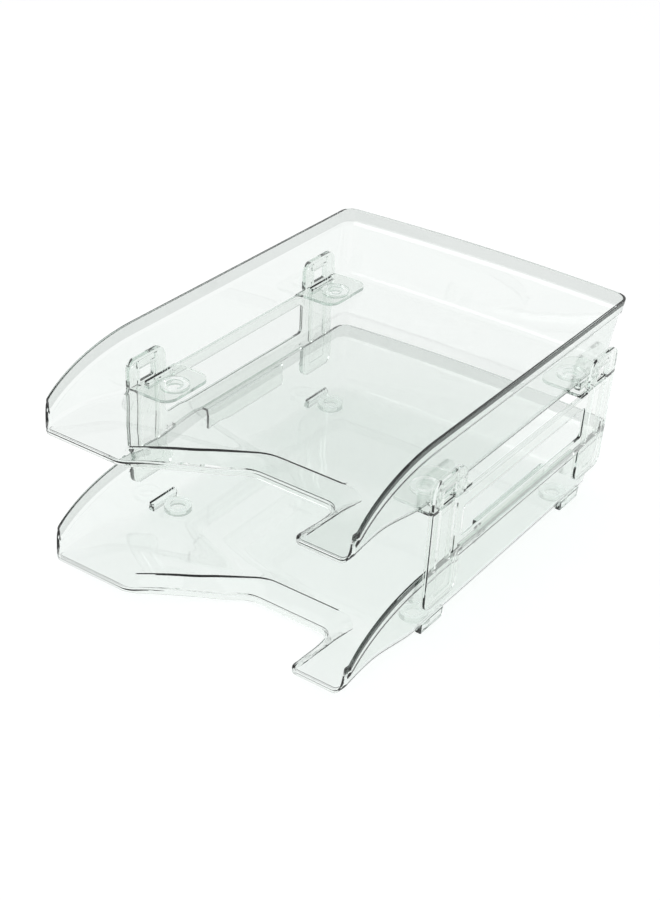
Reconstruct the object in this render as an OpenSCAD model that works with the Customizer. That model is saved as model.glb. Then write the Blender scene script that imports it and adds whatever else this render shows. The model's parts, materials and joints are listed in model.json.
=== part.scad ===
// Two clear letter trays stacked on a pair of clip-on side risers.
// Millimetres. +X is the right-hand side seen from the open front, +Y runs to the back wall, +Z is up.
// The origin is on the desk, under the middle of the set. Inside the modules y counts from the front edge
// of the tongues, and the named nodes are moved to the origin at the end.

/* [Tray] */
// Width over the rims of the side walls
rim_width = 252; // [220:1:280]
// Front edge of the tongues to the back rim, at the back corners
tray_depth = 358; // [320:1:380]
// Desk to rim
tray_height = 56; // [40:1:75]
// Desk to the underside of the floor
foot_height = 4.5; // [3:0.5:8]
// Floor sheet
floor_thickness = 2.2; // [1.6:0.1:3]
// Wall sheet
wall_thickness = 2; // [1.6:0.1:3]
// Outward lean of each side wall over its height
side_lean = 1.5; // [0:0.5:8]
// Outward lean of the back wall over its height
back_lean = 10; // [0:0.5:15]
// How far the back rim bows out at its middle
back_bow = 4.5; // [0:0.5:8]
// Radius of the back corners at the rim
corner_radius = 9; // [4:1:20]

/* [Rim] */
// Height of the band that steps out along the rim
band_height = 9.5; // [4:0.5:15]
// How far the band steps out
band_step = 1.6; // [0.5:0.1:2]
// Where the rim starts to curve down to the front
sweep_start = 94; // [60:1:140]
// Half axes of the ellipse that the curve follows: along the tray and in height
sweep_length = 97.5; // [95:0.5:160]
sweep_drop = 46; // [30:1:48]
// Radius of the front corners, seen from above
tip_radius = 8; // [2:1:12]

/* [Front] */
// Where the floor starts to rise towards the front
ramp_start = 98; // [60:1:140]
// Rise of the floor at the front edge
ramp_rise = 8.5; // [0:0.1:12]
// Level of the underside at the middle of the hand cut-out
apron_level = 2.6; // [0.5:0.1:6]

/* [Feet] */
// Distance of the four round bosses from the centre plane
boss_x = 106; // [90:1:112]
// Outside and inside diameter of a boss
boss_outer = 21; // [14:0.5:26]
boss_inner = 12.5; // [6:0.5:20]
// Inner face of each rib foot from the centre plane
rib_x = 118; // [110:0.5:120]
// Width and length of a rib foot
rib_width = 5; // [3:0.5:8]
rib_length = 29; // [15:1:40]

/* [Riser] */
// Height from one tray to the next
tier_pitch = 102; // [80:1:150]
// Front edge of the front post and width of each post
post_front = 89.5; // [70:0.5:110]
post_width = 40; // [25:1:60]
// Overall length of a riser
riser_length = 252; // [200:1:280]
// Inner face of the riser web and its thickness
web_x = 127.8; // [127.6:0.1:129]
web_thickness = 2.5; // [2:0.1:4]
// Height of each ear above the shelf
ear_rise = 21; // [10:1:35]
// Lowest point of the legs
leg_bottom = 27; // [15:1:45]
// Edges of the long window
window_bottom = 67.5; // [60:0.5:80]
window_top = 93; // [85:0.5:100]
// Inner edge and length of each shelf
shelf_x = 91.5; // [85:0.5:95]
shelf_length = 50; // [40:1:60]
shelf_thickness = 2.5; // [2:0.1:4]
// Radial gap of the boss in its hole and of the rib in its slot
boss_gap = 0.7; // [0.3:0.1:1.5]

/* [Hidden] */
$fn = 48;
eps = 0.02;
fillet_back = 6;
fillet_front = 8;
rim_half = rim_width / 2;
top_half = rim_half - band_step;
bottom_back_half = top_half - side_lean - 0.4;
bottom_front_half = top_half + 0.4;
back_top = tray_depth - band_step;
back_bottom = back_top - back_lean;
foot_mid = post_front + riser_length / 2;
foot_ys = [foot_mid - 100, foot_mid + 100];
shelf_top = tier_pitch + foot_height;
ear_top = shelf_top + ear_rise;
post_back = post_front + riser_length - post_width;
centre_y = 181.35;

// Hand cut-out, left to right: its edge, and the crease where the floor folds down to it.
edge_line = [[-56, 0], [-22, 35], [2, 54], [11, 58], [66, 58], [74, 54], [76, 45], [83, 8]];
crease_line = [[-66, 14], [-27, 41], [-3, 68], [7, 78], [76, 79], [91, 62], [90, 12]];

// Level of the underside of the floor at a distance y behind the front edge.
function ramp(y) = foot_height + ramp_rise * max(0, ramp_start - y) / ramp_start;

// Level of the rim at a distance y behind the front edge.
function rim(y) =
  y >= sweep_start ? tray_height
  : tray_height - sweep_drop * (1 - sqrt(1 - pow((sweep_start - y) / sweep_length, 2)));

// Seen from above: back rim with its bow and rounded corners, as a thin slab.
module rim_outline(inset, half, back, z) {
  r = corner_radius - inset;
  bow = [for (i = [-8:8]) [i / 8 * (half - inset - r), back - inset + back_bow * (1 - pow(i / 8, 2))]];
  translate([0, 0, z])
    linear_extrude(eps) {
      polygon(concat([[-half + inset, -2]], [for (i = [0:16]) bow[i]], [[half - inset, -2]]));
      for (s = [-1, 1])
        translate([s * (half - inset - r), back - inset - r]) circle(r);
    }
}

// Convex body that the outside (inset 0) or the inside of a tray follows.
module tub(inset, raise, top) {
  over = (top - tray_height) / (tray_height - foot_height);
  hull() {
    for (s = [-1, 1]) {
      translate([s * (bottom_back_half - inset - fillet_back), back_bottom - inset - fillet_back,
                 foot_height + raise + fillet_back])
        sphere(fillet_back);
      translate([s * (bottom_back_half + 0.9 - inset - fillet_back), ramp_start,
                 foot_height + raise + fillet_back])
        rotate([90, 0, 0]) cylinder(r = fillet_back, h = eps);
      translate([s * (bottom_front_half - inset - fillet_front), -2,
                 ramp(-2) + raise + fillet_front])
        rotate([90, 0, 0]) cylinder(r = fillet_front, h = eps);
    }
    rim_outline(inset, top_half + side_lean * over, back_top + back_lean * over, top);
  }
}

// Side view of everything under the rim line, lowered by drop.
module under_rim(drop) {
  arc = [for (i = [0:24]) let (y = sweep_start * (1 - cos(i / 24 * 90))) [y, rim(y) - drop]];
  rotate([90, 0, 90])
    translate([0, 0, -rim_half - 5])
      linear_extrude(rim_width + 10)
        polygon(concat([[0, -5]], arc, [[tray_depth + 10, tray_height - drop], [tray_depth + 10, -5]]));
}

// Side view of the band that steps out, starting lift above its lower line.
module band_zone(lift) {
  difference() {
    under_rim(-3);
    under_rim(band_height - lift);
  }
}

// Plan of what is rounded off at a front corner.
module corner_waste(s) {
  difference() {
    translate([s > 0 ? rim_half - tip_radius : -rim_half - 5, -5]) square([tip_radius + 5, tip_radius + 5]);
    translate([s * (rim_half - tip_radius), tip_radius]) circle(tip_radius);
  }
}

// Plan of the hand cut-out, with its corners eased.
module cut_out() {
  offset(r = -5) offset(delta = 5)
    offset(r = 5) offset(delta = -5)
      polygon(concat([[-75, -20], [-70, -3]], edge_line, [[88, 0], [98, -20]]));
}

// Plan of the folded strip between the crease and the cut-out.
module apron_plan() {
  polygon(concat(crease_line, [[84.5, 11], [75, 44], [60, 44], [20, 44], [-55, -1]]));
}

// Level of the underside of the apron at a point of its free edge.
function apron_z(p) = p[1] < 1 ? ramp(0) : ramp(0) + (apron_level - ramp(0)) * min(1, p[1] / 50);

// One flat panel of the apron through floor points on the crease and points on the free edge.
module apron_panel(creases, edges) {
  hull() {
    for (p = creases) translate([p[0], p[1], ramp(p[1])]) cylinder(r = 0.6, h = floor_thickness, $fn = 8);
    for (p = edges) translate([p[0], p[1] - 6, apron_z(p)]) cylinder(r = 0.6, h = floor_thickness, $fn = 8);
  }
}

module tray_shell() {
  difference() {
    intersection() {
      union() {
        tub(0, 0, tray_height + 3);
        intersection() {
          tub(-band_step, 0, tray_height + 3);
          band_zone(0);
        }
      }
      under_rim(0);
    }
    tub(wall_thickness, floor_thickness, tray_height + 4);
    intersection() {
      tub(wall_thickness - band_step, floor_thickness, tray_height + 4);
      band_zone(wall_thickness + 0.2);
    }
    translate([0, 0, -1]) linear_extrude(24) apron_plan();
    translate([0, 0, -1]) linear_extrude(24) cut_out();
    for (s = [-1, 1]) translate([0, 0, -1]) linear_extrude(40) corner_waste(s);
    // Blank panel sunk into the floor near the back.
    translate([-10, 301, foot_height + floor_thickness - 0.4]) cube([29, 26, 5]);
  }
}

module tray_apron() {
  e = edge_line;
  c = crease_line;
  difference() {
    union() {
      apron_panel([c[0], c[1], c[2], c[3]], [[-56, 3], e[2], e[3]]);
      apron_panel([c[3], c[4]], [e[3], e[4]]);
      apron_panel([c[4], c[5], c[6]], [e[4], e[6], [83.5, 11]]);
    }
    translate([0, 0, -5]) linear_extrude(40) cut_out();
  }
}

module tray_feet() {
  for (s = [-1, 1])
    for (y = foot_ys) {
      translate([s * boss_x, y, 0])
        difference() {
          cylinder(d = boss_outer, h = foot_height + 1);
          translate([0, 0, -1]) cylinder(d = boss_inner, h = foot_height + 1);
        }
      translate([s > 0 ? rib_x : -rib_x - rib_width, y - rib_length / 2, 0])
        cube([rib_width, rib_length, foot_height + 3.4]);
    }
}

module tray() {
  union() {
    tray_shell();
    tray_apron();
    tray_feet();
  }
}

// Outline of a riser seen from the side: posts, bars and ears.
module riser_side() {
  translate([post_front, window_top]) square([riser_length, shelf_top - shelf_thickness - window_top]);
  translate([post_front, tray_height]) square([riser_length, window_bottom - tray_height]);
  for (y = [post_front, post_back]) {
    hull() {
      for (i = [8, post_width - 8]) translate([y + i, leg_bottom + 8]) circle(8);
      translate([y, ear_top - 30]) square([post_width, 1]);
    }
    hull() {
      translate([y, window_top]) square([post_width, 5]);
      translate([y + 8, ear_top - 8]) circle(8);
      translate([y + post_width - 9, ear_top - 9]) circle(8);
    }
  }
}

// Long window and the window in each ear, seen from the side.
module riser_windows() {
  offset(r = 4) offset(delta = -4)
    translate([post_front + post_width, window_bottom])
      square([riser_length - 2 * post_width, window_top - window_bottom]);
  for (y = [post_front, post_back])
    translate([y + 11.5, shelf_top + 1.5]) square([15.5, ear_rise - 10.5]);
}

// Horizontal shelf with a hole for a boss and a slot for a rib foot.
module riser_shelf(y, toward_middle) {
  y0 = toward_middle > 0 ? y - 25.5 : y - shelf_length + 25.5;
  translate([0, 0, shelf_top - shelf_thickness])
    difference() {
      linear_extrude(shelf_thickness)
        union() {
          translate([shelf_x + 10, y0 + 10]) circle(10);
          translate([shelf_x + 10, y0 + shelf_length - 10]) circle(10);
          translate([shelf_x, y0 + 10]) square([20, shelf_length - 20]);
          translate([shelf_x + 10, y0]) square([web_x - shelf_x - 9, shelf_length]);
        }
      translate([boss_x, y, -1]) cylinder(d = boss_outer + 2 * boss_gap, h = 9);
      translate([rib_x - 0.5, y - rib_length / 2 - boss_gap, -1])
        cube([rib_width + 1.2, rib_length + 2 * boss_gap, 9]);
    }
}

module riser() {
  mid = foot_mid;
  difference() {
    translate([web_x, 0, 0]) rotate([90, 0, 90]) linear_extrude(web_thickness) riser_side();
    translate([web_x - 1, 0, 0]) rotate([90, 0, 90]) linear_extrude(web_thickness + 2) riser_windows();
    // Shallow panel sunk into the outer face of each post.
    for (y = [post_front, post_back])
      translate([web_x + web_thickness - 0.7, y + 11.5, leg_bottom + 8]) cube([2, 20, 66]);
  }
  riser_shelf(foot_ys[0], 1);
  riser_shelf(foot_ys[1], -1);
  for (y = [post_front, post_back])
    for (dy = [9, 28.5]) {
      // Stiffening ribs: one pair stands on the tray rim, the other braces the ear.
      translate([web_x - 3.2, y + dy, tray_height]) cube([3.7, 2, shelf_top - tray_height]);
      translate([web_x - 2.4, y + dy, shelf_top]) cube([2.9, 2, ear_rise - 3]);
    }
  for (y = [post_front, post_back])
    translate([web_x - 2.4, y + 9, shelf_top + ear_rise - 9]) cube([2.9, 21.5, 2]);
  // Ledge that rests on the rim, and the clip tab that hangs inside the wall.
  translate([web_x - 4.4, mid - 80, tray_height]) cube([4.9, 160, 2.2]);
  translate([web_x - 9.6, mid - 48, tray_height]) cube([10, 96, 2.2]);
  translate([web_x - 9.6, mid - 48, tray_height - 16]) cube([2.1, 96, 17]);
}

module lower_tray() {
  color([0.86, 0.92, 0.89, 0.45]) translate([0, -centre_y, 0]) tray();
}

module upper_tray() {
  color([0.86, 0.92, 0.89, 0.45]) translate([0, -centre_y, tier_pitch]) tray();
}

module right_riser() {
  color([0.82, 0.89, 0.86, 0.55]) translate([0, -centre_y, 0]) riser();
}

module left_riser() {
  color([0.82, 0.89, 0.86, 0.55]) translate([0, -centre_y, 0]) mirror([1, 0, 0]) riser();
}

lower_tray();
upper_tray();
left_riser();
right_riser();
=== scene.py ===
import json
import math

import bmesh
import bpy
import numpy as np
from mathutils import Matrix, Vector
from mathutils.geometry import delaunay_2d_cdt

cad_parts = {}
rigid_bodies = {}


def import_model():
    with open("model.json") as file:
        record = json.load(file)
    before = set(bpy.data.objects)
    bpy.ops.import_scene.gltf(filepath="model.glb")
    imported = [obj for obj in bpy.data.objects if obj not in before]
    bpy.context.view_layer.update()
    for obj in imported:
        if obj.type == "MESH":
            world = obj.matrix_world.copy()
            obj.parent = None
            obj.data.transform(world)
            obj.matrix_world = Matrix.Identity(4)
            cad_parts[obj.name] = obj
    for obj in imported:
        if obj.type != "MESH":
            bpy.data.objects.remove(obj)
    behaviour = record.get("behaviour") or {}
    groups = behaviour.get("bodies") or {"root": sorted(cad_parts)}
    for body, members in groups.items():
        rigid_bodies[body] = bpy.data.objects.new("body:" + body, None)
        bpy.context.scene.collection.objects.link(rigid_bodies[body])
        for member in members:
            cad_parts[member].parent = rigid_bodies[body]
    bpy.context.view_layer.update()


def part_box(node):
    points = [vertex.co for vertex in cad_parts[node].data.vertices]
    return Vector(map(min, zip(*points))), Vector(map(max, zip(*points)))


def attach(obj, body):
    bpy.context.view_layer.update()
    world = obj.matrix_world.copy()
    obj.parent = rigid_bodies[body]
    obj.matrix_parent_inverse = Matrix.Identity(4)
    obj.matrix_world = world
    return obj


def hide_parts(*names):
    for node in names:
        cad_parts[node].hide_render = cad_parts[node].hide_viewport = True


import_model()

# Everything below is drawn in millimetres with y counted from the tongues' front edge, then moved
# to the frame: FRONT_Y is where that edge is, and TIER is how far the upper tray is above the lower.
MM = 0.001
POST = 89.5
FRONT_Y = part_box("right_riser")[0].y / MM - POST
TIER = (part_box("upper_tray")[0].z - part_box("lower_tray")[0].z) / MM

# ---------------------------------------------------------------- tray sizes
RIM_HALF, RIM_Z = 126.0, 56.0
FOOT, SHEET, WALL = 4.5, 2.2, 2.0  # underside of the floor, floor sheet, wall sheet
BAND_H, BAND_STEP, TOP_FACE = 9.5, 1.6, 2.2  # stepped band along the rim, and the rim's top face
RIM_ROUND = 0.4
TOP_HALF = RIM_HALF - BAND_STEP

# Half width at the floor from back to front, and how far the wall flares out at the front
BOTTOM_BACK, BOTTOM_MID, BOTTOM_FRONT = 122.5, 123.4, 125.2
FLARE = 1.0
BACK_TOP, BACK_BOTTOM, BACK_BOW = 356.4, 346.4, 4.5
CORNER_TOP, CORNER_BOTTOM = 9.0, 13.0
TIP_R = 7.5
FILLET = 6.0

# Where the rim starts to curve down to the front, and the half axes of that curve
SWEEP_Y, SWEEP_LENGTH, SWEEP_DROP = 94.0, 97.5, 46.0

# The floor rises from RAMP_Y to its crest and dips again at the nose
RAMP_Y, CREST_Y = 98.0, 32.0
CREST_RISE, NOSE_DROP = 10.5, 3.0

# Level of the apron's free edge, and the small step at the crease above it
APRON_Z = 2.6
CREASE_DROP, CREASE_RUN = 0.6, 0.5

# Lip under the free edge in the cut-out and under a tongue, and its rounding
LIP, TONGUE_LIP, LIP_R = 2.0, 0.8, 0.5

# Height of the bead along the rim, painted near black as shade, and where the wall drops to the tongue's free
# edge
DARK_H = 3.3
DROP_Y = 6.2

# Hand cut-out seen from above, right to left, and the crease above it: x, y, corner radius.
CUT = [
    (117, 0, 0),
    (84.5, 0, 6),
    (75.6, 58, 9),
    (8, 58, 22),
    (-22, 35, 60),
    (-55, 0, 14),
    (-117, 0, 0),
]
CREASE = [
    (-66, 13.5, 0),
    (-27, 41, 60),
    (6.5, 78.7, 20),
    (78, 79, 11),
    (91.3, 66, 11),
    (91.8, 33, 60),
    (89.2, 7, 0),
]

# Blank sunk panel on the floor: x, y of two corners, its bevel and its depth
PANEL = (-10, 301, 19, 327)
PANEL_EDGE, PANEL_DIP = 0.4, 0.12

# Feet: round bosses with a bore, and rib feet beside them, under both ends of a riser
FOOT_MID = 215.5
FOOT_YS = (FOOT_MID - 100, FOOT_MID + 100)
BOSS_X, BOSS_R, BORE_R = 106.0, 10.5, 6.25
RIB_IN, RIB_OUT, RIB_HALF = 118.0, 123.0, 14.5

# ---------------------------------------------------------------- riser sizes
WIDE, LONG = 40.0, 252.0
BACK_POST = POST + LONG - WIDE
SHELF_LOW, SHELF_TOP = 104.0, 106.5
SHELF_X, SHELF_LONG = 91.5, 50.0
HOLE_R = 11.2
EAR_TOP = SHELF_TOP + 21
WEB_X, WEB_T = 127.8, 2.5
LEG_LOW = 27.0
WINDOW_LOW, WINDOW_TOP = 67.5, 93.0
BORDER = 1.1


def ease(t):
    t = np.clip(t, 0.0, 1.0)
    return t * t * (3 - 2 * t)


def hump(y):
    """Underside of the floor at y: flat, a rise towards the front, and a small dip at the nose."""
    y = np.asarray(y, float)
    rise = CREST_RISE * ease((RAMP_Y - y) / (RAMP_Y - CREST_Y))
    nose = NOSE_DROP * (np.clip(CREST_Y - y, 0, None) / CREST_Y) ** 2
    return FOOT + rise - nose


def rim(y):
    """Level of the rim at y."""
    if y >= SWEEP_Y:
        return RIM_Z
    return RIM_Z - SWEEP_DROP * (1 - math.sqrt(1 - ((SWEEP_Y - y) / SWEEP_LENGTH) ** 2))


def rounded_line(corners, step, closed=False):
    """Points along a polyline with rounded corners, given as (x, y, radius)."""
    out = []
    n = len(corners)
    for i, (x, y, r) in enumerate(corners):
        p = np.array((x, y), float)
        if not closed and i in (0, n - 1):
            out.append(p)
            continue
        a = np.array(corners[i - 1][:2], float)
        b = np.array(corners[(i + 1) % n][:2], float)
        u, v = (a - p) / np.linalg.norm(a - p), (b - p) / np.linalg.norm(b - p)
        turn = math.pi - math.acos(np.clip(u @ v, -1, 1))
        if r <= 0 or turn < 1e-3:
            out.append(p)
            continue
        t = r * math.tan(turn / 2)
        centre = p + (u + v) / np.linalg.norm(u + v) * r / math.cos(turn / 2)
        s, e = p + u * t - centre, p + v * t - centre
        a0, a1 = math.atan2(s[1], s[0]), math.atan2(e[1], e[0])
        d = (a1 - a0 + math.pi) % (2 * math.pi) - math.pi
        count = max(3, int(abs(d) * r / step) + 1, int(abs(math.degrees(d)) / 9) + 1)
        for k in range(count + 1):
            w = a0 + d * k / count
            out.append(centre + r * np.array((math.cos(w), math.sin(w))))
    return out


def spaced(points, step):
    """The same line with long stretches cut to about step."""
    out = [points[0]]
    for a, b in zip(points[:-1], points[1:]):
        count = max(1, int(np.linalg.norm(b - a) / step + 0.5))
        out += [a + (b - a) * k / count for k in range(1, count + 1)]
    return np.array(out)


def line_distance(p, line):
    """Distance of each point to a polyline, and the nearest point on it."""
    a, b = line[:-1], line[1:]
    ab = b - a
    t = np.einsum("pij,ij->pi", p[:, None] - a[None], ab) / np.maximum((ab**2).sum(1), 1e-12)
    near = a[None] + np.clip(t, 0, 1)[..., None] * ab[None]
    d = np.linalg.norm(p[:, None] - near, axis=2)
    k = d.argmin(1)
    rows = np.arange(len(p))
    return d[rows, k], near[rows, k]


def inside(p, polygon):
    """Even-odd test of points in a closed polygon."""
    x, y = p[:, 0], p[:, 1]
    hit = np.zeros(len(p), bool)
    for (x0, y0), (x1, y1) in zip(polygon, np.roll(polygon, -1, axis=0)):
        if y0 == y1:
            continue
        cross = (y0 > y) != (y1 > y)
        hit ^= cross & (x < (x1 - x0) * (y - y0) / (y1 - y0) + x0)
    return hit


cut_line = spaced(rounded_line(CUT, 1.2), 2.5)
cut_inner = cut_line[(cut_line[:, 0] < 89) & (cut_line[:, 0] > -68)]
crease_line = spaced(rounded_line(CREASE, 1.5), 2.5)
apron_outline = np.vstack([crease_line, cut_inner])


def crease_strength(p):
    """1 where the crease is a crisp step, falling to 0 at its ends and in the gap at the corner."""
    x, y = p[:, 0], p[:, 1]
    first = ease((x + 66) / 5) * ease((74 - x) / 6)
    second = ease((60 - y) / 4) * ease((y - 8) / 5)
    return np.where(x > 80, second, first)


def floor_z(p):
    """Underside of the floor, the ramp and the apron that folds down to the hand cut-out."""
    p = np.atleast_2d(np.asarray(p, float))
    z = hump(p[:, 1])
    near = (p[:, 1] < 84) & (np.abs(p[:, 0]) < 97)
    if near.any():
        q = p[near]
        dc, on_crease = line_distance(q, crease_line)
        de, on_edge = line_distance(q, cut_inner)
        in_apron = inside(q, apron_outline) | (de < 0.6)
        u = dc / np.maximum(dc + de, 1e-6)
        ends = ease((q[:, 0] + 69) / 18) * np.where(q[:, 0] > 70, ease((q[:, 1] + 1) / 14), 1)
        fall = (0.5 * u + 0.5 * ease(u)) * ends
        edge_z = hump(0) + (APRON_Z - hump(0)) * ease(on_edge[:, 1] / 52)
        zq = hump(q[:, 1]) * (1 - fall) + edge_z * fall
        step = CREASE_DROP * ease(dc / CREASE_RUN) * (1 - ease(u)) * crease_strength(on_crease)
        z[near] = np.where(in_apron, zq - step, hump(q[:, 1]))
    return z


# ---------------------------------------------------------------- tray section and path
def arc(cx, cz, r, a0, a1, n):
    """Points on an arc from angle a0 to a1, in degrees."""
    turns = [math.radians(a0 + (a1 - a0) * k / n) for k in range(n + 1)]
    return [(cx + r * math.cos(w), cz + r * math.sin(w)) for w in turns]


def wall_section(zb, zt, fillet, band_h, step):
    """Section of the wall from the floor up the outside, over the rim and down the inside.
    Each point is an offset from the wall's plane and a level."""
    e = RIM_ROUND
    jog = zt - band_h
    zi = zb + SHEET
    fi = fillet - WALL
    pts = arc(-fillet, zb + fillet, fillet, -90, 0, 8)
    pts += [(0, zb + fillet + 1.0), (0, (zb + fillet + jog - 3) / 2), (0, jog - 3.0)]
    pts += [(step * k, jog - 2.4 + d) for k, d in ((0.06, 0.0), (0.3, 0.9), (0.7, 2.0), (0.94, 2.9))]
    pts += [(step, jog + 1.1), (step, max(zt - DARK_H, (jog + zt) / 2))]
    pts += arc(step - e, zt - e, e, 0, 90, 4)
    pts += arc(step - TOP_FACE + e, zt - e, e, 90, 180, 4)
    si = step - TOP_FACE
    di = si + WALL
    pts += [(si, (jog + zt) / 2 + 0.5), (si, jog + 2.0)]
    pts += [(-WALL + di * k, jog - 1.6 + d) for k, d in ((0.94, 2.9), (0.7, 2.0), (0.3, 0.9), (0.06, 0.0))]
    pts += [(-WALL, jog - 2.2), (-WALL, (zi + fi + jog - 2.2) / 2), (-WALL, zi + fi + 1.0)]
    pts += arc(-WALL - fi, zi + fi, fi, 0, -90, 8)
    return np.array(pts)


def edge_section(zb, count, lip):
    """Free front edge of the floor sheet with a small lip underneath, as count points."""
    zt = zb + SHEET
    zl = zb - lip
    pts = [(-2.15, zb), (-1.95, zb - 0.3), (-1.85, zl + 0.45)]
    pts += arc(-1.4, zl + 0.45, 0.45, 190, 270, 3)
    pts += arc(-LIP_R, zl + LIP_R, LIP_R, -80, 0, 4)
    pts += arc(-LIP_R, zt - LIP_R, LIP_R, 0, 90, 5)
    pts += [(-2.15, zt)]
    pts = np.array(pts)
    s = np.concatenate([[0], np.cumsum(np.linalg.norm(np.diff(pts, axis=0), axis=1))])
    at = np.linspace(0, s[-1], count)
    return np.stack([np.interp(at, s, pts[:, 0]), np.interp(at, s, pts[:, 1])], 1)


def half_path():
    """Stations from the middle of the back, round the right-hand side, to the right tongue's front edge.
    A station has the wall's foot b and top t in plan, its outward direction n, the y that sets the rim's
    level, how far the wall has dropped to the free edge, and the sizes of its section."""
    rows = []

    def add(b, t, n, y_rim=200.0, drop=0.0, fillet=FILLET, inset=8.0, band=1.0, blend=0.0):
        row = dict(b=np.array(b, float), t=np.array(t, float), n=np.array(n, float) / np.hypot(*n))
        row.update(y_rim=y_rim, drop=drop, fillet=fillet, inset=inset, band=band, blend=blend)
        rows.append(row)

    xt, xb = TOP_HALF - CORNER_TOP, BOTTOM_BACK - CORNER_BOTTOM
    for k in range(22):
        f = k / 22
        bow = 1 - f * f
        slope = 2 * f * BACK_BOW / xt
        add((xb * f, BACK_BOTTOM + 0.4 * BACK_BOW * bow), (xt * f, BACK_TOP + BACK_BOW * bow), (slope, 1))
    tilt = math.atan(2 * BACK_BOW / xt)
    for k in range(15):
        a = math.pi / 2 * (1 - k / 14) - tilt * (1 - k / 14)
        n = (math.cos(a), math.sin(a))
        add((xb + CORNER_BOTTOM * n[0], BACK_BOTTOM - CORNER_BOTTOM + CORNER_BOTTOM * n[1]),
            (xt + CORNER_TOP * n[0], BACK_TOP - CORNER_TOP + CORNER_TOP * n[1]), n)
    yt, yb = BACK_TOP - CORNER_TOP, BACK_BOTTOM - CORNER_BOTTOM
    for k in range(1, 31):
        f = k / 30
        foot = (BOTTOM_BACK + (BOTTOM_MID - BOTTOM_BACK) * f, yb + (RAMP_Y - yb) * f)
        add(foot, (TOP_HALF, yt + (RAMP_Y - yt) * f), (1, 0))
    ys = [RAMP_Y - (RAMP_Y - 13) * k / 30 for k in range(1, 31)] + [13 - 0.5 * k for k in range(1, 12)]
    for y in ys:
        g = (RAMP_Y - y) / (RAMP_Y - TIP_R)
        xb = BOTTOM_MID + (BOTTOM_FRONT - BOTTOM_MID) * g
        rim_end(add, xb, TOP_HALF + FLARE * g * g, (1, 0), y, g)
    for k in range(1, 25):
        a = math.radians(-90 * k / 24)
        n = (math.cos(a), math.sin(a))
        shift = TIP_R * (n[0] - 1)
        rim_end(add, BOTTOM_FRONT + shift, TOP_HALF + FLARE + shift, n, TIP_R * (1 + n[1]), 1)
    return rows


def rim_end(add, xb, xt, n, y, g):
    """A station on the sloping front of the side: the wall ends in a quick drop to the tongue's free edge."""
    fall = float(ease((DROP_Y - y) / 6.0))
    inset = (8.0 - 3.0 * g) * (1 - fall) + 2.2 * fall
    band = 1 - float(ease((DROP_Y + 2.5 - y) / 2.5))
    add((xb, y), (xt, y), n, max(y, 2.0), fall, FILLET - 2.0 * g, inset, band, fall)


def tray_path():
    """Stations all the way round: the right half, the cut-out from right to left, and the left half."""
    right = half_path()
    left = []
    for r in right[1:]:
        m = dict(r)
        for key in ("b", "t", "n"):
            m[key] = r[key] * (-1, 1)
        left.append(m)
    front = []
    d = np.gradient(cut_line, axis=0)
    for p, v in list(zip(cut_line, d))[1:-1]:
        n = np.array((-v[1], v[0])) / np.hypot(*v)
        row = dict(b=p, t=p, n=n, y_rim=0.0, drop=1.0, fillet=4.0, inset=2.2, band=0.0, blend=1.0)
        row["lip"] = TONGUE_LIP + (LIP - TONGUE_LIP) * float(ease(p[1] / 9))
        front.append(row)
    return right + front + left[::-1]


def station_ring(r):
    """The closed section at one station, as points in space; first and last lie on the floor ring."""
    zb = float(floor_z(r["b"])[0])
    low = zb + SHEET + 9.0
    zt = max(low, rim(r["y_rim"]) * (1 - r["drop"]) + low * r["drop"])
    band_h = min(4.5 + (BAND_H - 4.5) * r["band"], (zt - zb) * 0.45)
    wall = wall_section(zb, zt, r["fillet"], band_h, max(BAND_STEP * r["band"], 0.02))
    lean = r["t"] - r["b"]
    pts = wall
    if r["blend"] > 0:
        pts = wall * (1 - r["blend"]) + edge_section(zb, len(wall), r.get("lip", TONGUE_LIP)) * r["blend"]
    up = np.clip((pts[:, 1] - zb) / (RIM_Z - FOOT), 0, None)[:, None] * (1 - r["blend"])
    xy = r["b"] + r["n"] * pts[:, :1] + lean * up
    ring = r["b"] - r["n"] * r["inset"]
    z_ring = float(floor_z(ring)[0])
    low_pt, top_pt = (ring[0], ring[1], z_ring), (ring[0], ring[1], z_ring + SHEET)
    return [low_pt] + [(x, y, z) for (x, y), z in zip(xy, pts[:, 1])] + [top_pt]


def floor_mesh(ring, extra_lines, points):
    """Triangles that fill the ring, passing through the extra lines and points."""
    verts = [Vector(p) for p in ring]
    edges = [(i, (i + 1) % len(ring)) for i in range(len(ring))]
    for line, closed in extra_lines:
        start = len(verts)
        verts += [Vector(p) for p in line]
        edges += [(start + i, start + i + 1) for i in range(len(line) - 1)]
        if closed:
            edges.append((start + len(line) - 1, start))
    verts += [Vector(p) for p in points]
    out, _, tris, origin, _, _ = delaunay_2d_cdt(verts, edges, [], 1, 1e-4, True)
    index = [(o[0] if o else -1) for o in origin]
    flat = np.array([v[:] for v in out])
    mids = flat[np.array([t[:3] for t in tris])].mean(1)
    tris = [t for t, ok in zip(tris, inside(mids, ring)) if ok]
    return flat, tris, index


def offset_line(line, distance):
    """The same line moved sideways."""
    d = np.gradient(line, axis=0)
    n = np.stack([d[:, 1], -d[:, 0]], 1) / np.linalg.norm(d, axis=1)[:, None]
    return line + n * distance


def floor_points(ring, lines):
    """A fine grid of points on the risen front, and a coarse one on the flat rest of the floor."""
    fine = [(x, y) for y in np.arange(2.5, RAMP_Y + 4, 3.2) for x in np.arange(-122, 123, 3.4)]
    coarse = [(x, y) for y in np.arange(RAMP_Y + 12, 340, 15.0) for x in np.arange(-112.5, 113, 15.0)]
    p = np.array(fine + coarse)
    p = p[inside(p, ring)]
    closed = np.vstack([ring, ring[:1]])
    keep = line_distance(p, closed)[0] > 1.7
    for line in lines:
        keep &= line_distance(p, line)[0] > 1.3
    return p[keep]


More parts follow.
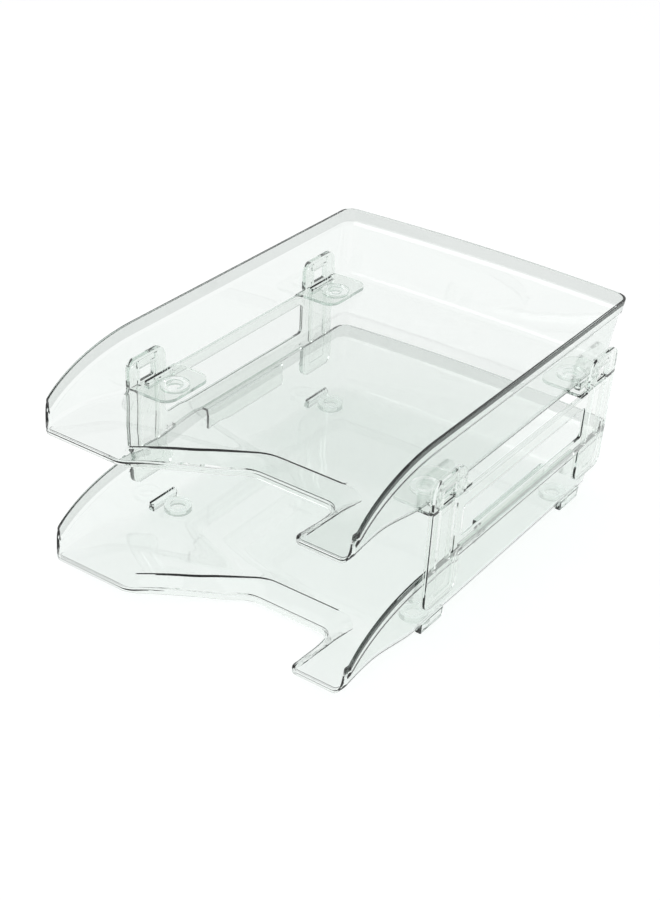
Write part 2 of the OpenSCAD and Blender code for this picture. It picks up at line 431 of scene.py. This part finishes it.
def build_mesh(name, verts, faces):
    """Mesh with merged corners and faces that all look outwards."""
    me = bpy.data.meshes.new(name)
    me.from_pydata([tuple(v) for v in verts], [], [tuple(int(i) for i in f) for f in faces])
    me.validate()
    bm = bmesh.new()
    bm.from_mesh(me)
    bmesh.ops.remove_doubles(bm, verts=bm.verts, dist=1e-5)
    bmesh.ops.recalc_face_normals(bm, faces=bm.faces)
    bm.to_mesh(me)
    bm.free()
    return me


def new_object(name, data):
    ob = bpy.data.objects.new(name, data)
    bpy.context.scene.collection.objects.link(ob)
    return ob


def tray_shell_mesh():
    """One closed skin: the sections joined round the tray, closed by the underside and top of the floor."""
    rings = [station_ring(r) for r in tray_path()]
    count, k = len(rings), len(rings[0])
    verts = [p for ring in rings for p in ring]
    faces = []
    for i in range(count):
        j = (i + 1) % count
        for a in range(k - 1):
            faces.append((i * k + a, i * k + a + 1, j * k + a + 1, j * k + a))
    plan = np.array([r[0][:2] for r in rings])
    step_line = offset_line(crease_line, CREASE_RUN)
    x0, y0, x1, y1 = PANEL
    box = np.array([(x0, y0), (x1, y0), (x1, y1), (x0, y1)], float)
    e = PANEL_EDGE
    box_in = np.array([(x0 + e, y0 + e), (x1 - e, y0 + e), (x1 - e, y1 - e), (x0 + e, y1 - e)])
    loop = np.vstack([box, box[:1]])
    points = floor_points(plan, [crease_line, step_line, loop])
    lines = [(crease_line, False), (step_line, False), (box, True), (box_in, True)]
    flat, tris, index = floor_mesh(plan, lines, points)
    z = floor_z(flat)
    low, high = np.array((x0, y0)) + e / 2, np.array((x1, y1)) - e / 2
    sunk = ((flat > low) & (flat < high)).all(1)
    for rise, first in ((0.0, 0), (SHEET, k - 1)):
        names = []
        for i, (x, y) in enumerate(flat):
            if 0 <= index[i] < count:
                names.append(index[i] * k + first)
            else:
                dip = PANEL_DIP if (sunk[i] and rise) else 0.0
                names.append(len(verts))
                verts.append((x, y, z[i] + rise - dip))
        faces += [tuple(names[v] for v in t) for t in tris]
    return verts, faces


def box_mesh(lo, hi):
    x0, y0, z0 = lo
    x1, y1, z1 = hi
    v = [(x, y, z) for z in (z0, z1) for x, y in ((x0, y0), (x1, y0), (x1, y1), (x0, y1))]
    f = [(0, 3, 2, 1), (4, 5, 6, 7), (0, 1, 5, 4), (1, 2, 6, 5), (2, 3, 7, 6), (3, 0, 4, 7)]
    return v, f


def slab(outline, holes, lo, hi, place):
    """Flat plate with holes, from a 2-D outline; place turns (u, v, w) into (x, y, z)."""
    loops = [outline] + holes
    verts, edges = [], []
    for loop in loops:
        s = len(verts)
        verts += [Vector(p) for p in loop]
        edges += [(s + i, s + (i + 1) % len(loop)) for i in range(len(loop))]
    out, _, tris, origin, _, _ = delaunay_2d_cdt(verts, edges, [], 1, 1e-4, True)
    mids = np.array([np.mean([out[i][:] for i in t], axis=0) for t in tris])
    keep = inside(mids, np.array(outline))
    for hole in holes:
        keep &= ~inside(mids, np.array(hole))
    n = len(out)
    name = {o[0]: i for i, o in enumerate(origin) if o}
    points = [place(p[0], p[1], lo) for p in out] + [place(p[0], p[1], hi) for p in out]
    kept = [t for t, ok in zip(tris, keep) if ok]
    faces = [tuple(t) for t in kept] + [tuple(i + n for i in t[::-1]) for t in kept]
    for a, b in edges:
        a, b = name[a], name[b]
        faces.append((a, b, b + n, a + n))
    return points, faces


def circle(cx, cy, r, n=48):
    turns = [2 * math.pi * k / n for k in range(n)]
    return [(cx + r * math.cos(w), cy + r * math.sin(w)) for w in turns]


def rounded_loop(corners):
    return [tuple(p) for p in rounded_line(corners, 0.8, True)]


def rounded_box(x0, y0, x1, y1, r):
    return rounded_loop([(x0, y0, r), (x1, y0, r), (x1, y1, r), (x0, y1, r)])


def upright(u, v, w):
    return (w, u, v)


def level(u, v, w):
    return (u, v, w)


def union(name, base, parts, cutters=()):
    """One solid from overlapping solids, less the cutters."""
    ob = new_object(name, build_mesh(name, *base))
    for group, op in ((parts, "UNION"), (cutters, "DIFFERENCE")):
        if not group:
            continue
        col = bpy.data.collections.new(name + op)
        bpy.context.scene.collection.children.link(col)
        for i, part in enumerate(group):
            tool = bpy.data.objects.new(f"{name}_{op}_{i}", build_mesh("tool", *part))
            col.objects.link(tool)
        mod = ob.modifiers.new(op, "BOOLEAN")
        mod.operation, mod.operand_type, mod.solver, mod.collection = op, "COLLECTION", "EXACT", col
        bake(ob)
        for tool in list(col.objects):
            bpy.data.objects.remove(tool)
        bpy.data.collections.remove(col)
    return ob


def bake(ob):
    """Replaces the mesh with what its modifiers give."""
    graph = bpy.context.evaluated_depsgraph_get()
    graph.update()
    me = bpy.data.meshes.new_from_object(ob.evaluated_get(graph), depsgraph=graph)
    ob.modifiers.clear()
    ob.data = me


def finish_solid(ob, width, angle, smooth_angle=35):
    """Small rounding on sharp edges, tidy faces and smooth shading."""
    bm = bmesh.new()
    bm.from_mesh(ob.data)
    bmesh.ops.remove_doubles(bm, verts=bm.verts, dist=2e-3)
    if width:
        bmesh.ops.dissolve_limit(bm, angle_limit=math.radians(0.6), verts=bm.verts, edges=bm.edges)
    bm.to_mesh(ob.data)
    bm.free()
    if width:
        mod = ob.modifiers.new("edge", "BEVEL")
        mod.width, mod.segments, mod.limit_method, mod.angle_limit = width, 2, "ANGLE", math.radians(angle)
        mod.use_clamp_overlap = True
        mod.miter_outer = "MITER_ARC"
        bake(ob)
    shade(ob, smooth_angle)


def shade(ob, angle):
    me = ob.data
    me.polygons.foreach_set("use_smooth", [True] * len(me.polygons))
    me.set_sharp_from_angle(angle=math.radians(angle))
    mod = ob.modifiers.new("normals", "WEIGHTED_NORMAL")
    mod.keep_sharp = True
    mod.weight = 60


def close_cracks(me):
    """Merges corners next to any open or doubled edge until the skin is closed."""
    bm = bmesh.new()
    bm.from_mesh(me)
    for reach in (0.03, 0.06, 0.12, 0.25, 0.4):
        bm.verts.index_update()
        near = {v for e in bm.edges if len(e.link_faces) != 2 for v in e.verts}
        if not near:
            break
        near |= {e.other_vert(v) for v in list(near) for e in v.link_edges}
        in_order = sorted(near, key=lambda v: v.index)
        bmesh.ops.remove_doubles(bm, verts=in_order, dist=reach)
    bm.to_mesh(me)
    bm.free()


def place_copy(ob, name, dz=0.0, flip=False):
    """A copy in metres, in the shared frame."""
    me = ob.data.copy()
    s = -1 if flip else 1
    move = Matrix(((s * MM, 0, 0, 0), (0, MM, 0, FRONT_Y * MM), (0, 0, MM, dz * MM), (0, 0, 0, 1)))
    me.transform(move)
    if flip:
        me.flip_normals()
    return new_object(name, me)


# ---------------------------------------------------------------- trays
def make_tray():
    parts = []
    for s in (-1, 1):
        for y in FOOT_YS:
            x = s * BOSS_X
            parts.append(slab(circle(x, y, BOSS_R), [circle(x, y, BORE_R)], 0.0, FOOT + 0.8, level))
            x0, x1 = sorted((s * RIB_IN, s * RIB_OUT))
            rib = rounded_box(x0, y - RIB_HALF, x1, y + RIB_HALF, 1.0)
            parts.append(slab(rib, [], 0.0, FOOT + 3.4, level))
    ob = union("tray", tray_shell_mesh(), parts)
    finish_solid(ob, 0, 0, 38)
    close_cracks(ob.data)
    # Face zones that set where the material paints shade on the rim.
    zone = ob.data.attributes.new("zone", "FLOAT", "FACE")
    zone.data.foreach_set("value", [rim_zone(f.center, f.normal) for f in ob.data.polygons])
    return ob


def rim_zone(c, n):
    """0 for plain wall or floor, 1 for the outside of the rim band, 2 for the bead along its top and 3 for
    the top face where the rim slopes down. The tray material paints shade on zones 1 to 3."""
    side = math.copysign(1, c.x)
    xc, yc = TOP_HALF - CORNER_TOP, BACK_TOP - CORNER_TOP
    if abs(c.x) > xc and c.y > yc:
        out = Vector((side * (abs(c.x) - xc), c.y - yc)).normalized()
    else:
        out = Vector((0, 1)) if c.y > yc else Vector((side, 0))
    below = rim(c.y) - c.z
    if c.y < DROP_Y - 1.5 or below > BAND_H or (c.y < yc and abs(c.x) < xc):
        return 0
    outward = n.x * out.x + n.y * out.y
    if outward > 0.3:
        return 2 if below < DARK_H + 0.1 and (outward > 0.9 or c.y < 60) else 1
    return 3 if c.y < 60 and outward > -0.3 and below < 2 else 0


# ---------------------------------------------------------------- risers
def web_outline(d):
    """Outline of the riser's upright plate, moved inwards by d."""
    a, b, c, e = POST + d, POST + WIDE - d, BACK_POST + d, POST + LONG - d
    low, sill, bar, top = LEG_LOW + d, RIM_Z + d, SHELF_LOW - d, EAR_TOP - d
    legs = [(a, low, 8 - d), (b, low, 8 - d), (b, sill, 2.5 + d)]
    legs += [(c, sill, 2.5 + d), (c, low, 8 - d), (e, low, 8 - d)]
    ears = [(e, top, 9 - d), (c, top, 8 - d), (c, bar, 2 + d)]
    ears += [(b, bar, 2 + d), (b, top, 9 - d), (a, top, 8 - d)]
    return rounded_loop(legs + ears)


def riser_web():
    holes = [rounded_box(POST + WIDE, WINDOW_LOW, BACK_POST, WINDOW_TOP, 4)]
    for y in (POST, BACK_POST):
        holes.append(rounded_box(y + 11.5, SHELF_TOP + 1.5, y + 27, SHELF_TOP + 12, 1.5))
    return slab(web_outline(0), holes, WEB_X, WEB_X + WEB_T, upright)


def riser_shelf(y, way):
    """Shelf with a hole for a boss and a slot for a rib foot; way is 1 at the front and -1 at the back."""
    y0 = y - 25.5 if way > 0 else y - 24.5
    y1 = y0 + SHELF_LONG
    x1 = WEB_X + 1
    outline = rounded_loop([(SHELF_X, y0, 10), (x1, y0, 0), (x1, y1, 0), (SHELF_X, y1, 10)])
    slot = rounded_box(RIB_IN - 0.5, y - RIB_HALF - 0.7, RIB_OUT + 0.7, y + RIB_HALF + 0.7, 0.8)
    return slab(outline, [circle(BOSS_X, y, HOLE_R), slot], SHELF_LOW, SHELF_TOP, level)


def make_riser():
    """Right-hand riser: web, shelves, raised border, ribs, ledge over the rim and clip tab inside it."""
    parts = [riser_shelf(FOOT_YS[0], 1), riser_shelf(FOOT_YS[1], -1)]
    inner = WEB_X + 0.5
    outer = WEB_X + WEB_T
    parts.append(slab(web_outline(0.15), [web_outline(2.3)], WEB_X - BORDER, inner, upright))
    cutters = []
    for y in (POST, BACK_POST):
        for y0 in (y + 9, y + 28.5):
            parts.append(box_mesh((WEB_X - 3.2, y0, RIM_Z), (inner, y0 + 2, SHELF_TOP - 1)))
            parts.append(box_mesh((WEB_X - 1.3, y0, SHELF_TOP - 1.2), (inner, y0 + 2, EAR_TOP - 3)))
        parts.append(box_mesh((WEB_X - 1.2, y + 9.2, EAR_TOP - 9), (inner, y + 30.3, EAR_TOP - 7)))
        recess = rounded_box(y + 11.5, LEG_LOW + 8, y + 31.5, 101, 1.5)
        cutters.append(slab(recess, [], outer - 0.7, outer + 2, upright))
    ledge, clip = (FOOT_MID - 80, FOOT_MID + 80), (FOOT_MID - 48, FOOT_MID + 48)
    parts.append(box_mesh((WEB_X - 4.4, ledge[0], RIM_Z), (inner, ledge[1], RIM_Z + 2.2)))
    parts.append(box_mesh((WEB_X - 9.6, clip[0], RIM_Z), (WEB_X - 4, clip[1], RIM_Z + 2.2)))
    parts.append(box_mesh((WEB_X - 9.6, clip[0], RIM_Z - 16), (WEB_X - 7.5, clip[1], RIM_Z + 1)))
    ob = union("riser", riser_web(), parts, cutters)
    finish_solid(ob, 0.3, 40)
    return ob


# ---------------------------------------------------------------- materials
def clear_plastic(name, tint, absorb, density, haze, ripples, band=None, bead=None):
    """Clear moulded plastic with faint flow ripples. A tray's rim band gets painted shade, a grey colour
    where light leaves through it, and the bead along its top is painted near black as shade when seen from
    outside the tray."""
    mat = bpy.data.materials.new(name)
    mat.use_nodes = True
    nt = mat.node_tree
    nt.nodes.clear()
    out = nt.nodes.new("ShaderNodeOutputMaterial")
    glass = nt.nodes.new("ShaderNodeBsdfPrincipled")
    glass.inputs["Base Color"].default_value = (*tint, 1)
    glass.inputs["Transmission Weight"].default_value = 1
    glass.inputs["IOR"].default_value = 1.54
    # Painted shade on the rim band and bead, in place of the plain tint.
    if band:
        nt.links.new(rim_painted_shade(nt, tint, band, bead), glass.inputs["Base Color"])
    coord = nt.nodes.new("ShaderNodeTexCoord")
    fine = nt.nodes.new("ShaderNodeTexNoise")
    fine.inputs["Scale"].default_value = 55
    fine.inputs["Detail"].default_value = 4
    nt.links.new(coord.outputs["Object"], fine.inputs["Vector"])
    rough = nt.nodes.new("ShaderNodeMapRange")
    rough.inputs["From Min"].default_value = 0.3
    rough.inputs["From Max"].default_value = 0.75
    rough.inputs["To Min"].default_value = 0.0
    rough.inputs["To Max"].default_value = haze
    nt.links.new(fine.outputs["Fac"], rough.inputs["Value"])
    nt.links.new(rough.outputs["Result"], glass.inputs["Roughness"])
    ripple = nt.nodes.new("ShaderNodeTexNoise")
    ripple.inputs["Scale"].default_value = 14
    ripple.inputs["Detail"].default_value = 2
    stretch = nt.nodes.new("ShaderNodeMapping")
    stretch.inputs["Scale"].default_value = (1.0, 0.45, 1.0)
    nt.links.new(coord.outputs["Object"], stretch.inputs["Vector"])
    nt.links.new(stretch.outputs["Vector"], ripple.inputs["Vector"])
    bump = nt.nodes.new("ShaderNodeBump")
    bump.inputs["Strength"].default_value = ripples
    bump.inputs["Distance"].default_value = 0.002
    nt.links.new(ripple.outputs["Fac"], bump.inputs["Height"])
    nt.links.new(bump.outputs["Normal"], glass.inputs["Normal"])
    clear = nt.nodes.new("ShaderNodeBsdfTransparent")
    clear.inputs["Color"].default_value = (0.955, 0.97, 0.962, 1)
    # Light that only has to pass, or that is trapped in the sheet, goes straight through.
    path = nt.nodes.new("ShaderNodeLightPath")
    passing = math_node(nt, "MAXIMUM", path.outputs["Is Shadow Ray"], path.outputs["Is Diffuse Ray"])
    trapped = step_node(nt, path.outputs["Ray Depth"], 9.5)
    mix = nt.nodes.new("ShaderNodeMixShader")
    nt.links.new(math_node(nt, "MAXIMUM", passing, trapped), mix.inputs["Fac"])
    nt.links.new(glass.outputs[0], mix.inputs[1])
    nt.links.new(clear.outputs[0], mix.inputs[2])
    nt.links.new(mix.outputs[0], out.inputs["Surface"])
    volume = nt.nodes.new("ShaderNodeVolumeAbsorption")
    volume.inputs["Color"].default_value = (*absorb, 1)
    volume.inputs["Density"].default_value = density
    nt.links.new(volume.outputs[0], out.inputs["Volume"])
    return mat


def rim_painted_shade(nt, tint, band, bead):
    """Painted shade by the zone of each face, see rim_zone: grey where light leaves through the rim band,
    near black on the bead and, seen from outside, on the sloping top face.
    """
    face = nt.nodes.new("ShaderNodeNewGeometry")
    zone = nt.nodes.new("ShaderNodeAttribute")
    zone.attribute_name = "zone"
    value = zone.outputs["Fac"]
    x_at = nt.nodes.new("ShaderNodeSeparateXYZ")
    x_view = nt.nodes.new("ShaderNodeSeparateXYZ")
    nt.links.new(face.outputs["Position"], x_at.inputs[0])
    nt.links.new(face.outputs["Incoming"], x_view.inputs[0])
    same_side = math_node(nt, "MULTIPLY", x_at.outputs[0], x_view.outputs[0])
    from_inside = math_node(nt, "SUBTRACT", 1.0, step_node(nt, same_side, 0.0))
    plain_top = math_node(nt, "MULTIPLY", step_node(nt, value, 2.5), from_inside)
    is_dark = math_node(nt, "SUBTRACT", step_node(nt, value, 1.5), plain_top)
    leaving = mix_colour(nt, step_node(nt, value, 0.5), tint, band)
    entering = mix_colour(nt, is_dark, tint, bead)
    return mix_colour(nt, face.outputs["Backfacing"], entering, leaving)


def math_node(nt, operation, a, b):
    node = nt.nodes.new("ShaderNodeMath")
    node.operation = operation
    for i, value in enumerate((a, b)):
        if isinstance(value, float):
            node.inputs[i].default_value = value
        else:
            nt.links.new(value, node.inputs[i])
    return node.outputs[0]


def step_node(nt, value, edge):
    return math_node(nt, "GREATER_THAN", value, edge)


def mix_colour(nt, factor, a, b):
    node = nt.nodes.new("ShaderNodeMix")
    node.data_type = "RGBA"
    nt.links.new(factor, node.inputs["Factor"])
    for key, value in (("A", a), ("B", b)):
        if isinstance(value, tuple):
            node.inputs[key].default_value = (*value, 1)
        else:
            nt.links.new(value, node.inputs[key])
    return node.outputs["Result"]


def floor_material():
    mat = bpy.data.materials.new("studio_floor")
    mat.use_nodes = True
    nt = mat.node_tree
    bsdf = nt.nodes["Principled BSDF"]
    bsdf.inputs["Roughness"].default_value = 0.9
    bsdf.inputs["Specular IOR Level"].default_value = 0.0
    noise = nt.nodes.new("ShaderNodeTexNoise")
    noise.inputs["Scale"].default_value = 3
    ramp = nt.nodes.new("ShaderNodeMix")
    ramp.data_type = "RGBA"
    ramp.inputs["A"].default_value = (0.60, 0.60, 0.60, 1)
    ramp.inputs["B"].default_value = (0.64, 0.64, 0.64, 1)
    bsdf.inputs["Emission Color"].default_value = (1, 1, 1, 1)
    bsdf.inputs["Emission Strength"].default_value = 0.5
    nt.links.new(noise.outputs["Fac"], ramp.inputs["Factor"])
    nt.links.new(ramp.outputs["Result"], bsdf.inputs["Base Color"])
    return mat


TRAY_TINT = (0.915, 0.935, 0.922)
RISER_TINT = (0.92, 0.935, 0.92)
DEPTH_TINT = (0.62, 0.80, 0.73)
# Painted shade: grey where light leaves through the rim band, near black on the bead along the rim's top.
BAND_SHADE = (0.60, 0.625, 0.61)
BEAD_SHADE = (0.010, 0.014, 0.012)
TRAY_SMOOTH, RISER_SMOOTH = 38, 35  # degrees above which an edge stays sharp
tray_plastic = clear_plastic("clear_tray", TRAY_TINT, DEPTH_TINT, 12.0, 0.03, 0.08, BAND_SHADE, BEAD_SHADE)
riser_plastic = clear_plastic("clear_riser", RISER_TINT, DEPTH_TINT, 16.0, 0.04, 0.04)

tray = make_tray()
for body, dz in (("lower_tray", 0.0), ("upper_tray", TIER)):
    piece = place_copy(tray, body + "_shell", dz)
    shade(piece, TRAY_SMOOTH)
    piece.data.materials.append(tray_plastic)
    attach(piece, body)
    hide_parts(body)
bpy.data.objects.remove(tray)

riser = make_riser()
for body, flip in (("left_riser", True), ("right_riser", False)):
    piece = place_copy(riser, body + "_frame", 0.0, flip)
    shade(piece, RISER_SMOOTH)
    piece.data.materials.clear()
    piece.data.materials.append(riser_plastic)
    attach(piece, body)
    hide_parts(body)
bpy.data.objects.remove(riser)

# ---------------------------------------------------------------- floor, light, camera
STAGE = 25.0
corners = [(-STAGE, -STAGE, 0), (STAGE, -STAGE, 0), (STAGE, STAGE, 0), (-STAGE, STAGE, 0)]
floor_me = bpy.data.meshes.new("floor")
floor_me.from_pydata(corners, [], [(0, 1, 2, 3)])
floor = new_object("studio_floor", floor_me)
floor.location.z = -0.0004
floor_me.materials.append(floor_material())

world = bpy.data.worlds.new("studio")
bpy.context.scene.world = world
world.use_nodes = True
wt = world.node_tree
background = wt.nodes["Background"]
coord = wt.nodes.new("ShaderNodeTexCoord")
split = wt.nodes.new("ShaderNodeSeparateXYZ")
ramp = wt.nodes.new("ShaderNodeValToRGB")
wt.links.new(coord.outputs["Generated"], split.inputs[0])
wt.links.new(split.outputs["Z"], ramp.inputs["Fac"])
ramp.color_ramp.elements[0].position = 0.0
ramp.color_ramp.elements[0].color = (1.0, 1.0, 1.0, 1)
ramp.color_ramp.elements[1].position = 0.9
ramp.color_ramp.elements[1].color = (0.55, 0.56, 0.56, 1)
wt.links.new(ramp.outputs["Color"], background.inputs["Color"])
background.inputs["Strength"].default_value = 1.0


def softbox(name, at, aim, size, power):
    data = bpy.data.lights.new(name, "AREA")
    data.shape = "RECTANGLE"
    data.size, data.size_y = size
    data.energy = power
    ob = new_object(name, data)
    ob.location = at
    ob.rotation_euler = (Vector(aim) - Vector(at)).to_track_quat("-Z", "Y").to_euler()


softbox("key", (-0.95, -1.45, 1.45), (0, 0, 0.05), (1.3, 1.3), 7)
softbox("fill", (0.2, 0.4, 2.6), (0, 0, 0.05), (3.2, 3.2), 14)

# The camera looks down on the set from the front right and well above, with its lens shifted.
EYE = Vector((530.4, -628.0 + FRONT_Y, 638.4)) * MM
AZIMUTH, ELEVATION, ROLL = math.radians(33.68), math.radians(40.15), math.radians(2.92)
SENSOR, LENS = 36.0, 82.66173
SHIFT = (0.011227, 0.378788)

back = Vector((
    math.sin(AZIMUTH) * math.cos(ELEVATION),
    -math.cos(AZIMUTH) * math.cos(ELEVATION),
    math.sin(ELEVATION),
))
side = (-back).cross(Vector((0, 0, 1))).normalized()
above = side.cross(-back)
right = side * math.cos(ROLL) + above * math.sin(ROLL)
over = -side * math.sin(ROLL) + above * math.cos(ROLL)

cam_data = bpy.data.cameras.new("camera")
cam_data.sensor_fit = "HORIZONTAL"
cam_data.sensor_width = SENSOR
cam_data.lens = LENS
cam_data.shift_x, cam_data.shift_y = SHIFT
cam_data.clip_start = 0.01
camera = new_object("camera", cam_data)
camera.matrix_world = Matrix.Translation(EYE) @ Matrix((right, over, back)).transposed().to_4x4()
bpy.context.scene.camera = camera

scene = bpy.context.scene
scene.view_settings.view_transform = "Standard"
scene.cycles.max_bounces = 32
scene.cycles.transmission_bounces = 28
scene.cycles.transparent_max_bounces = 32
scene.cycles.caustics_reflective = False
scene.cycles.caustics_refractive = False
